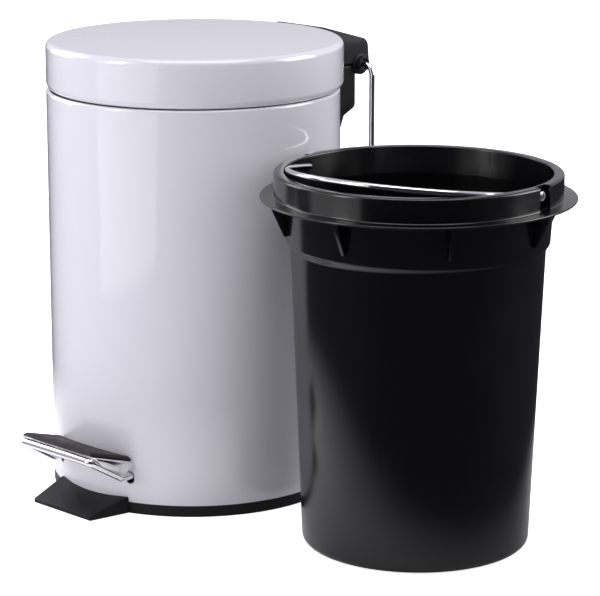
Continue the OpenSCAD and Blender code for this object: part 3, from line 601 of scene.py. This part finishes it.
upper_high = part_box("lid_bracket")[1]
upper_half = upper_high.x - 3.5 * mm
upper_z = pin_z + 0.2 * mm
upper_levels = [
    (upper_z, pin_y + 8.2 * mm), (lid_high.z - 14.5 * mm, pin_y + 7.2 * mm),
    (lid_high.z - 12.1 * mm, pin_y + 6.3 * mm), (lid_high.z - 10.2 * mm, pin_y + 4 * mm),
    (lid_high.z - 0.3 * mm, body_r + 3 * mm)]
upper_bracket = stacked("upper_bracket", upper_half, bracket_front, upper_levels)
soften(upper_bracket, 0.9 * mm, 3, 28)
cheek_in = 14 * mm
cavity = stacked("cavity", cheek_in, body_r + 8.5 * mm, [
    (upper_z - mm, pin_y + 6 * mm), (lid_high.z - 15 * mm, pin_y + 5 * mm),
    (lid_high.z - 13 * mm, pin_y + 2 * mm), (lid_high.z - 5.5 * mm, body_r + 8.6 * mm)])
combine(upper_bracket, cavity, "DIFFERENCE")

socket_r, socket_depth, collar_boss_r = 3.1 * mm, 1.2 * mm, 4.6 * mm
step_x = upper_half + 0.8 * mm
for side in (-1, 1):
    boss = cylinder(
        boss_r, boss_x - cheek_in, (side * (cheek_in + boss_x) / 2, pin_y, pin_z), across)
    pick(boss, lambda p: abs(p.x) > boss_x - 0.1 * mm)
    bpy.ops.mesh.select_mode(type="FACE")
    bpy.ops.transform.translate(value=(side * (step_x - boss_x), 0, 0))
    bpy.ops.mesh.inset(thickness=boss_r - collar_boss_r)
    bpy.ops.mesh.extrude_region_move(
        TRANSFORM_OT_translate={"value": (side * (boss_x - step_x), 0, 0)})
    bpy.ops.mesh.inset(thickness=collar_boss_r - socket_r)
    bpy.ops.mesh.extrude_region_move(
        TRANSFORM_OT_translate={"value": (-side * socket_depth, 0, 0)})
    bpy.ops.object.mode_set(mode="OBJECT")
    soften(boss, 0.4 * mm, 3, 50)
    combine(upper_bracket, boss, "UNION")

rod_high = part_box("push_rod")[1]
rod_r = 1.75 * mm
crank_y, crank_z = rod_high.y - rod_r, rod_high.z - rod_r
lug_x, lug_t, lug_r = 3 * mm, 4 * mm, 4.5 * mm
lug = cylinder(lug_r, lug_t, (lug_x + lug_t / 2, crank_y, crank_z), across, 48)
pick(lug, lambda p: p.z > crank_z + 0.01 * mm)
bpy.ops.transform.translate(value=(0, 0, lid_high.z - 7 * mm - crank_z - lug_r))
bpy.ops.object.mode_set(mode="OBJECT")
combine(upper_bracket, lug, "UNION")
lid_room = cylinder(lid_r + 0.02 * mm, 80 * mm, (*lid_centre, lid_high.z), sides=160)
combine(upper_bracket, lid_room, "DIFFERENCE")
handle_r = 1.6 * mm
bore_split = 16.6 * mm
for bore_r, bore_half, bore_y, bore_z in (
        (pin_r + 0.05 * mm, bore_split, pin_y, pin_z),
        (handle_r + 0.05 * mm, boss_x + 5 * mm, pin_y, pin_z),
        (rod_r + 0.05 * mm, 9.9 * mm, crank_y, crank_z)):
    bore = cylinder(bore_r, 2 * bore_half, (0, bore_y, bore_z), across, 40)
    combine(upper_bracket, bore, "DIFFERENCE")
settle(upper_bracket)
upper_bracket.data.materials.append(moulded)
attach(upper_bracket, "lid")
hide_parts("lid_bracket")

# ---------------------------------------------------------------------------------------------
# Hinge pin, backing plates and screws: the pin is plain plated rod. The plates spread the load
# of the screws inside the sheet, and the screws are phosphated, with low round heads.

# Phosphated steel: a dark, slightly oily grey with bright rubbed edges
phosphate, tree, shader, place = finish_material(
    "phosphated_steel", (0.085, 0.085, 0.09), (0.40, 0.40, 0.41), 0.8, 0.36, 0.50, 60,
    metallic=1.0)
raise_surface(tree, shader, noise_of(tree, place, 1800, 3), 0.03 * mm, 0.4)
for node in ("hinge_pin", "body_bracket_plate", "lid_bracket_plate"):
    dress(node, zinc)
for node in ("body_bracket_screws", "lid_bracket_screws"):
    dress(node, phosphate)

# ---------------------------------------------------------------------------------------------
# Carrying handle: one length of chromed wire, bent square at four corners. Its ends spring into
# the bosses of the upper bracket, and it swings on them.


def bent_wire(name, radius, corners, bends, around=28, bend_steps=10):
    """A wire through a row of corners, with a round bend of a given radius at each inner one."""
    points = [Vector(p) for p in corners]
    way = (points[1] - points[0]).normalized()
    bpy.ops.object.select_all(action="DESELECT")
    bpy.ops.mesh.primitive_circle_add(
        vertices=around, radius=radius, location=points[0], fill_type="NGON",
        rotation=way.to_track_quat("Z", "Y").to_euler())
    piece = bpy.context.object
    piece.name = name
    bpy.ops.object.mode_set(mode="EDIT")
    bpy.ops.mesh.select_mode(type="EDGE")
    bpy.ops.mesh.select_all(action="SELECT")
    here = points[0]
    for before, corner, after, bend in zip(points, points[1:], points[2:], bends):
        into, out = (corner - before).normalized(), (after - corner).normalized()
        turn = into.angle(out)
        axis = into.cross(out).normalized()
        set_back = bend * tan(turn / 2)
        tangent = corner - into * set_back
        bpy.ops.mesh.extrude_edges_move(TRANSFORM_OT_translate={"value": tangent - here})
        steps = max(3, round(bend_steps * turn / radians(90) * max(1, bend / (20 * mm))))
        bpy.ops.mesh.spin(
            steps=steps, angle=-turn, center=tangent + axis.cross(into) * bend, axis=axis)
        here = corner + out * set_back
    bpy.ops.mesh.extrude_edges_move(TRANSFORM_OT_translate={"value": points[-1] - here})
    bpy.ops.mesh.edge_face_add()
    close_up()
    bpy.ops.object.mode_set(mode="OBJECT")
    return piece


handle_low, handle_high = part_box("carry_handle")
handle_leg = handle_high.x - handle_r
handle_bar_z = handle_low.z + handle_r
shoulder_bend, corner_bend = 6 * mm, 8 * mm
handle_end = bore_split + 0.3 * mm
handle = bent_wire(
    "carry_handle_wire", handle_r,
    [(-handle_end, pin_y, pin_z), (-handle_leg, pin_y, pin_z), (-handle_leg, pin_y, handle_bar_z),
     (handle_leg, pin_y, handle_bar_z), (handle_leg, pin_y, pin_z), (handle_end, pin_y, pin_z)],
    [shoulder_bend, corner_bend, corner_bend, shoulder_bend])
settle(handle, 50)

# Chrome on wire: bright, with faint drawing lines under the plate and a few finger marks
chrome, tree, shader, place = finish_material(
    "chromed_wire", (0.84, 0.83, 0.85), (0.90, 0.89, 0.90), 0.3, 0.045, 0.13, 45, metallic=1.0,
    edge_radius=0.3 * mm)
raise_surface(tree, shader, noise_of(tree, place, 900, 3), 0.01 * mm, 0.25)
handle.data.materials.append(chrome)
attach(handle, "handle")
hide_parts("carry_handle")

# ---------------------------------------------------------------------------------------------
# Push rod, its clip and washers: plated wire that stands inside the back of the drum, jogs out
# through the window and turns on the lug of the upper bracket.

dress("push_rod", zinc)
for node in ("rod_clip", "rod_washers"):
    dress(node, phosphate)

# ---------------------------------------------------------------------------------------------
# Pedal wire: one length of thick chromed wire in a U. Its front bar is the edge that the toe
# meets, and its legs pass through the drum and lie on the lever.

kink_y = wall_y - 6.5 * mm
kink_z = leg_end_z + (leg_end_y - kink_y) * tan(leg_slope)
bar_y, bar_z = pedal_low.y + leg_r, pedal_high.z - leg_r
bar_bend, kink_bend = 2.7 * mm, 4 * mm
pedal_path = [(-leg_x, leg_end_y, leg_end_z), (-leg_x, kink_y, kink_z), (-leg_x, bar_y, bar_z),
              (leg_x, bar_y, bar_z), (leg_x, kink_y, kink_z), (leg_x, leg_end_y, leg_end_z)]
pedal = bent_wire("pedal_bar", leg_r, pedal_path, [kink_bend, bar_bend, bar_bend, kink_bend])
settle(pedal, 50)
pedal.data.materials.append(chrome)
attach(pedal, "pedal")
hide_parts("pedal_wire")

# ---------------------------------------------------------------------------------------------
# Foot plate: a chromed pressing on top of the bar, its two sides turned down to stiffen it and
# cut back at a slant towards the drum.

plate_tilt = radians(16.2)
plate_t = 0.9 * mm
plate_half = leg_x + leg_r + 0.1 * mm
plate_origin = Vector((0, bar_y + leg_r * sin(plate_tilt), bar_z + leg_r * cos(plate_tilt)))
plate_front, plate_depth = 0.9 * mm, 29.16 * mm
flange_front, flange_back, flange_back_y = 3.3 * mm, 6.6 * mm, 25.1 * mm
flange_slant = 5.5 * mm
plate_gap_r = body_r + 1.2 * mm
bpy.ops.object.select_all(action="DESELECT")
plate_mid = (0, (plate_front + plate_depth) / 2, plate_t / 2)
bpy.ops.mesh.primitive_plane_add(size=1, location=plate_mid)
plate = bpy.context.object
plate.name = "foot_plate"
bpy.ops.object.mode_set(mode="EDIT")
bpy.ops.transform.resize(
    value=(2 * plate_half + plate_t, plate_depth - plate_front, 1), center_override=plate_mid)
bpy.ops.mesh.subdivide(number_cuts=1)
bpy.ops.object.mode_set(mode="OBJECT")
for side in (-1, 1):
    pick(plate, lambda p: p.x * side > plate_half - mm)
    bpy.ops.mesh.extrude_region_move(
        TRANSFORM_OT_translate={"value": (0, 0, -flange_front - plate_t / 2)})
    for start, end, move in (
            (12 * mm, 40 * mm, (0, 0, flange_front - flange_back)),
            (20 * mm, 40 * mm, (0, flange_back_y - plate_depth, 0)),
            (5 * mm, 20 * mm, (0, 0, (flange_back - flange_front) / 2)),
            (0, 5 * mm, (0, flange_slant, 0))):
        pick(plate, lambda p: p.x * side > plate_half - mm and p.z < -mm and start < p.y < end)
        bpy.ops.transform.translate(value=move)
close_up()
bpy.ops.object.mode_set(mode="OBJECT")
pick(plate, lambda p: abs(p.x) > plate_half - mm and p.z > 0)
bpy.ops.mesh.select_mode(type="EDGE")
bpy.ops.mesh.bevel(offset=1.1 * mm, segments=4)
bpy.ops.object.mode_set(mode="OBJECT")
thicken = plate.modifiers.new("thicken", "SOLIDIFY")
thicken.thickness = plate_t
thicken.offset = 0
thicken.use_even_offset = True
bpy.ops.object.modifier_apply(modifier=thicken.name)
soften(plate, 0.18 * mm, 2, 60)
plate_frame = Matrix.Translation(plate_origin) @ Matrix.Rotation(-plate_tilt, 4, "X")
plate.matrix_world = plate_frame @ plate.matrix_world
drum_room = cylinder(plate_gap_r, 100 * mm, (0, 0, 40 * mm), sides=160)
combine(plate, drum_room, "DIFFERENCE")
settle(plate)

# Chrome on sheet: as bright as the wire, with the long soft waves of a pressing
chrome_sheet, tree, shader, place = finish_material(
    "chromed_sheet", (0.80, 0.79, 0.80), (0.88, 0.87, 0.88), 0.4, 0.07, 0.17, 60, metallic=1.0,
    edge_radius=0.3 * mm)
raise_surface(tree, shader, noise_of(tree, place, 180, 2), 0.03 * mm, 0.3)
plate.data.materials.append(chrome_sheet)
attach(plate, "pedal")
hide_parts("pedal_plate")

# ---------------------------------------------------------------------------------------------
# Pedal pad: a moulded rubber tread glued to the foot plate. Its edges slope, and rows of small
# raised studs cover its top.

pad_t = 2.4 * mm
stud_r, stud_h, stud_pitch = 0.62 * mm, 0.28 * mm, 2.45 * mm
stud_margin = 1.6 * mm
pad_front_half, pad_back_half = plate_half - 2.6 * mm, plate_half - 0.6 * mm
pad_edge = 1.6 * mm
pad_base, pad_front = plate_t + 0.02 * mm, -1.2 * mm
pad_top = plate_t + pad_t - stud_h
pad_mid = (pad_front + plate_depth) / 2
bpy.ops.object.select_all(action="DESELECT")
bpy.ops.mesh.primitive_plane_add(size=1, location=(0, pad_mid, pad_base))
pad = bpy.context.object
pad.name = "pedal_tread"
bpy.ops.object.mode_set(mode="EDIT")
bpy.ops.transform.resize(
    value=(2 * pad_back_half, plate_depth - pad_front, 1), center_override=(0, pad_mid, pad_base))
pick(pad, lambda p: p.y < pad_mid)
bpy.ops.transform.resize(
    value=(pad_front_half / pad_back_half, 1, 1), center_override=(0, pad_front, pad_base))
bpy.ops.mesh.select_all(action="SELECT")
bpy.ops.mesh.extrude_region_move(TRANSFORM_OT_translate={"value": (0, 0, 0.45 * pad_t)})
bpy.ops.mesh.extrude_region_move(TRANSFORM_OT_translate={"value": (0, 0, 0.55 * pad_t)})
bpy.ops.transform.resize(
    value=(1 - pad_edge / pad_back_half, 1 - 2 * pad_edge / (plate_depth - pad_front), 1),
    center_override=(0, pad_mid, pad_top))
close_up()
bpy.ops.object.mode_set(mode="OBJECT")
soften(pad, 0.35 * mm, 3, 20)
pad.matrix_world = plate_frame @ pad.matrix_world
drum_room = cylinder(plate_gap_r, 100 * mm, (0, 0, 40 * mm), sides=160)
combine(pad, drum_room, "DIFFERENCE")

stud = cylinder(stud_r, stud_h, (0, 0, 0), sides=10)
pick(stud, lambda p: p.z > 0)
bpy.ops.mesh.select_mode(type="FACE")
bpy.ops.mesh.bevel(offset=0.16 * mm, segments=2)
bpy.ops.object.mode_set(mode="OBJECT")
studs = []
rows = int((plate_depth - pad_front - 2 * pad_edge - stud_margin) / stud_pitch)
for row in range(rows):
    y = pad_front + pad_edge + stud_margin + row * stud_pitch
    share = (y - pad_front) / (plate_depth - pad_front)
    half = pad_front_half + (pad_back_half - pad_front_half) * share - pad_edge - 1.3 * mm
    across = int(2 * half / stud_pitch) - row % 2
    for column in range(across + 1):
        x = (column - across / 2) * stud_pitch
        if plate_origin.y + y * cos(plate_tilt) > -sqrt(plate_gap_r ** 2 - x ** 2) - 1.5 * mm:
            continue
        copy = stud.copy()
        copy.data = stud.data.copy()
        copy.matrix_world = plate_frame @ Matrix.Translation(
            (x, y, pad_top - 0.02 * mm + stud_h / 2))
        bpy.context.scene.collection.objects.link(copy)
        studs.append(copy)
bpy.data.objects.remove(stud)
bpy.ops.object.select_all(action="DESELECT")
for one in studs:
    one.select_set(True)
pad.select_set(True)
bpy.context.view_layer.objects.active = pad
bpy.ops.object.join()
settle(pad)

# Rubber: a dull grey-black that holds a little dust and shows the grain of its mould
rubber, tree, shader, place = finish_material(
    "tread_rubber", (0.022, 0.018, 0.023), (0.06, 0.054, 0.062), 0.55, 0.55, 0.72, 90,
    edge_radius=0.4 * mm)
shader.inputs["Specular IOR Level"].default_value = 0.25
raise_surface(tree, shader, noise_of(tree, place, 3000, 3), 0.05 * mm, 0.5)
pad.data.materials.append(rubber)
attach(pad, "pedal")
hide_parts("pedal_pad")

# ---------------------------------------------------------------------------------------------
# Lever, saddles, axle and clips: the pressed lever rocks on the axle under the bucket, and two
# saddles hold the legs of the pedal wire on it.

for node in ("lift_lever", "leg_clamps", "pedal_axle"):
    dress(node, zinc)
dress("axle_clips", phosphate)

# ---------------------------------------------------------------------------------------------
# Inner bucket: one black moulding with a stepped shoulder, a flange that hangs on the rim, a
# hollow collar above it, and eight gusset ribs under the flange.

bucket_low, bucket_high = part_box("bucket_shell")
bucket_centre = ((bucket_low.x + bucket_high.x) / 2, (bucket_low.y + bucket_high.y) / 2)
bucket_turn = radians(10.5)
flange_r = (bucket_high.x - bucket_low.x) / 2
wall = 1.5 * mm
flange_t = 1.2 * mm
collar_h, collar_w = 13 * mm, 5.6 * mm
collar_top = bucket_high.z
flange_top = collar_top - collar_h
flange_z = flange_top - flange_t
collar_r = flange_r - 7.5 * mm
collar_in = collar_r - collar_w
neck_r = collar_r - 5.3 * mm
side_top_r = neck_r - 3.7 * mm
side_low_r = side_top_r - 6.3 * mm
shoulder_z, shoulder_h = flange_z - 27.4 * mm, 4.7 * mm
shoulder_r = neck_r - 1.4 * mm
foot_r = 4 * mm
rim_edge = 1.3 * mm


def bucket_side(inset):
    """The side from just above the foot to just under the flange, inset by the wall."""
    ease = 6
    side = [(side_low_r - inset, foot_r)]
    side += [(side_low_r - inset + (side_top_r - side_low_r) * i / 5,
              foot_r + (shoulder_z - foot_r) * i / 5) for i in range(1, 6)]
    for i in range(1, ease + 1):
        share = i / ease
        swell = (1 - cos(share * pi)) / 2
        side.append((side_top_r - inset + (shoulder_r - side_top_r) * swell,
                     shoulder_z + shoulder_h * share))
    side += [(neck_r - inset, flange_z - 1.2 * mm)]
    return side


bucket_section = (
    arc(side_low_r - foot_r, foot_r, foot_r, 270, 350, 8)
    + bucket_side(0)
    + [(neck_r + 0.3 * mm, flange_z - 0.3 * mm), (neck_r + mm, flange_z)]
    + [(collar_in + wall + 0.1 * mm, flange_z), (collar_in + wall + 0.1 * mm, collar_top - wall),
       (collar_r - wall, collar_top - wall), (collar_r - wall, flange_z)]
    + arc(flange_r - flange_t / 2, flange_z + flange_t / 2, flange_t / 2, 270, 450, 8)
    + arc(collar_r + 0.7 * mm, flange_top + 0.7 * mm, 0.7 * mm, 270, 180, 4)
    + arc(collar_r - rim_edge, collar_top - rim_edge, rim_edge, 0, 90, 6)
    + arc(collar_in + 0.8 * mm, collar_top - 0.8 * mm, 0.8 * mm, 90, 180, 5)
    + [(collar_in, flange_top + 3 * mm), (neck_r - wall, flange_z - 0.6 * mm)]
    + list(reversed(bucket_side(wall)))
    + arc(side_low_r - foot_r, foot_r, foot_r - wall, 350, 270, 6))
bucket = turned("bucket", bucket_centre, bucket_section, around=192, capped=True)

rib_t, rib_foot_t = 2.6 * mm, 1.9 * mm
rib_h, rib_root_h = 19.5 * mm, 5 * mm
rib_count = 8
rib_r = body_r - 2 * bead_r - 1.3 * mm
for spoke in range(rib_count):
    bpy.ops.object.select_all(action="DESELECT")
    bpy.ops.mesh.primitive_plane_add(size=1, location=(0, 0, flange_z + flange_t / 2))
    rib = bpy.context.object
    bpy.ops.object.mode_set(mode="EDIT")
    rib_low, rib_out = neck_r - 0.5 * mm, rib_r
    bpy.ops.transform.resize(value=(rib_out - rib_low, rib_t, 1), center_override=(0, 0, 0))
    bpy.ops.transform.translate(value=((rib_out + rib_low) / 2, 0, 0))
    bpy.ops.mesh.extrude_region_move(TRANSFORM_OT_translate={"value": (0, 0, -rib_root_h)})
    bpy.ops.mesh.extrude_region_move(TRANSFORM_OT_translate={"value": (0, 0, rib_root_h - rib_h)})
    foot_share = 2 * mm / (rib_out - rib_low)
    bpy.ops.transform.resize(
        value=(foot_share, rib_foot_t / rib_t, 1), center_override=(rib_low, 0, 0))
    bpy.ops.transform.translate(value=(-0.5 * mm, 0, 0))
    close_up()
    bpy.ops.object.mode_set(mode="OBJECT")
    soften(rib, 0.35 * mm, 2)
    rib.matrix_world = (
        Matrix.Translation((*bucket_centre, 0))
        @ Matrix.Rotation(bucket_turn + 2 * pi * spoke / rib_count, 4, "Z") @ rib.matrix_world)
    combine(bucket, rib, "UNION")

recess_w = 10.5 * mm
bail_z = collar_top - 5.4 * mm
bail_r = 1.5 * mm
for side in (0, pi):
    bpy.ops.object.select_all(action="DESELECT")
    bpy.ops.mesh.primitive_cube_add(size=1)
    recess = bpy.context.object
    recess.matrix_world = (
        Matrix.Translation((*bucket_centre, 0)) @ Matrix.Rotation(bucket_turn + side, 4, "Z")
        @ Matrix.Translation((collar_in + wall + 0.1 * mm + 5 * mm, 0, flange_top + 10 * mm))
        @ Matrix.Diagonal((10 * mm, recess_w, 20 * mm, 1)))
    combine(bucket, recess, "DIFFERENCE")
bail_bore = cylinder(
    bail_r + 0.05 * mm, 2 * collar_r, (*bucket_centre, bail_z), (0, radians(90), bucket_turn), 32)
combine(bucket, bail_bore, "DIFFERENCE")
settle(bucket)

# Bucket polypropylene: near black, satin, with faint flow clouding and scuffs from stacking
polypropylene, tree, shader, place = finish_material(
    "black_polypropylene", (0.0025, 0.0022, 0.003), (0.016, 0.015, 0.018), 0.5, 0.15, 0.23, 14)
shader.inputs["Specular IOR Level"].default_value = 0.55
raise_surface(tree, shader, noise_of(tree, place, 1500, 2), 0.02 * mm, 0.25)
bucket.data.materials.append(polypropylene)
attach(bucket, "bucket")
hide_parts("bucket_shell")

# ---------------------------------------------------------------------------------------------
# Bail: chromed wire bent to an arc that folds down inside the collar. Its ends turn out through
# the collar and are riveted over in the two recesses.

bail_fold = radians(8)
bail_arc_r = collar_in - bail_r - 0.8 * mm
head_x, head_t, head_r = collar_in + wall + 0.3 * mm, 2.2 * mm, 2.6 * mm
elbow = 1.6 * mm
bail_plane = (
    Matrix.Translation((*bucket_centre, bail_z)) @ Matrix.Rotation(bucket_turn, 4, "Z")
    @ Matrix.Rotation(pi - bail_fold, 4, "X"))
bail_path = [(-head_x - head_t, 0), (-bail_arc_r, 0), (-bail_arc_r, bail_arc_r),
             (bail_arc_r, bail_arc_r), (bail_arc_r, 0), (head_x + head_t, 0)]
bail = bent_wire(
    "bail_wire", bail_r, [bail_plane @ Vector((x, y, 0)) for x, y in bail_path],
    [elbow, bail_arc_r - elbow, bail_arc_r - elbow, elbow])
settle(bail, 50)
bail.data.materials.append(chrome)
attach(bail, "bail")
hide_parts("bucket_bail")

rivet_parts = []
for side in (-1, 1):
    rivet = cylinder(head_r, head_t, (0, 0, 0), sides=40)
    pick(rivet, lambda p: p.z > 0)
    bpy.ops.mesh.select_mode(type="FACE")
    bpy.ops.mesh.bevel(offset=0.35 * mm, segments=3)
    bpy.ops.object.mode_set(mode="OBJECT")
    pick(rivet, lambda p: p.z > head_t / 2 - 0.01 * mm)
    bpy.ops.mesh.select_mode(type="FACE")
    bpy.ops.mesh.inset(thickness=0.7 * mm)
    bpy.ops.transform.translate(value=(0, 0, -0.15 * mm))
    bpy.ops.object.mode_set(mode="OBJECT")
    rivet.matrix_world = (
        bail_plane @ Matrix.Translation((side * (head_x + head_t / 2), 0, 0))
        @ Matrix.Rotation(side * pi / 2, 4, "Y"))
    settle(rivet)
    rivet_parts.append(rivet)
bpy.ops.object.select_all(action="DESELECT")
for part in rivet_parts:
    part.select_set(True)
bpy.context.view_layer.objects.active = rivet_parts[0]
bpy.ops.object.join()
rivets = bpy.context.object
rivets.name = "bail_rivet_heads"

# Bright aluminium-like rivet ends, hammered over and left bare
bare_ends, tree, shader, place = finish_material(
    "bare_rivet_ends", (0.78, 0.78, 0.78), (0.9, 0.9, 0.9), 0.5, 0.22, 0.36, 120, metallic=1.0,
    edge_radius=0.3 * mm)
raise_surface(tree, shader, noise_of(tree, place, 1600, 3), 0.04 * mm, 0.4)
rivets.data.materials.append(bare_ends)
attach(rivets, "bail")
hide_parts("bail_rivets")
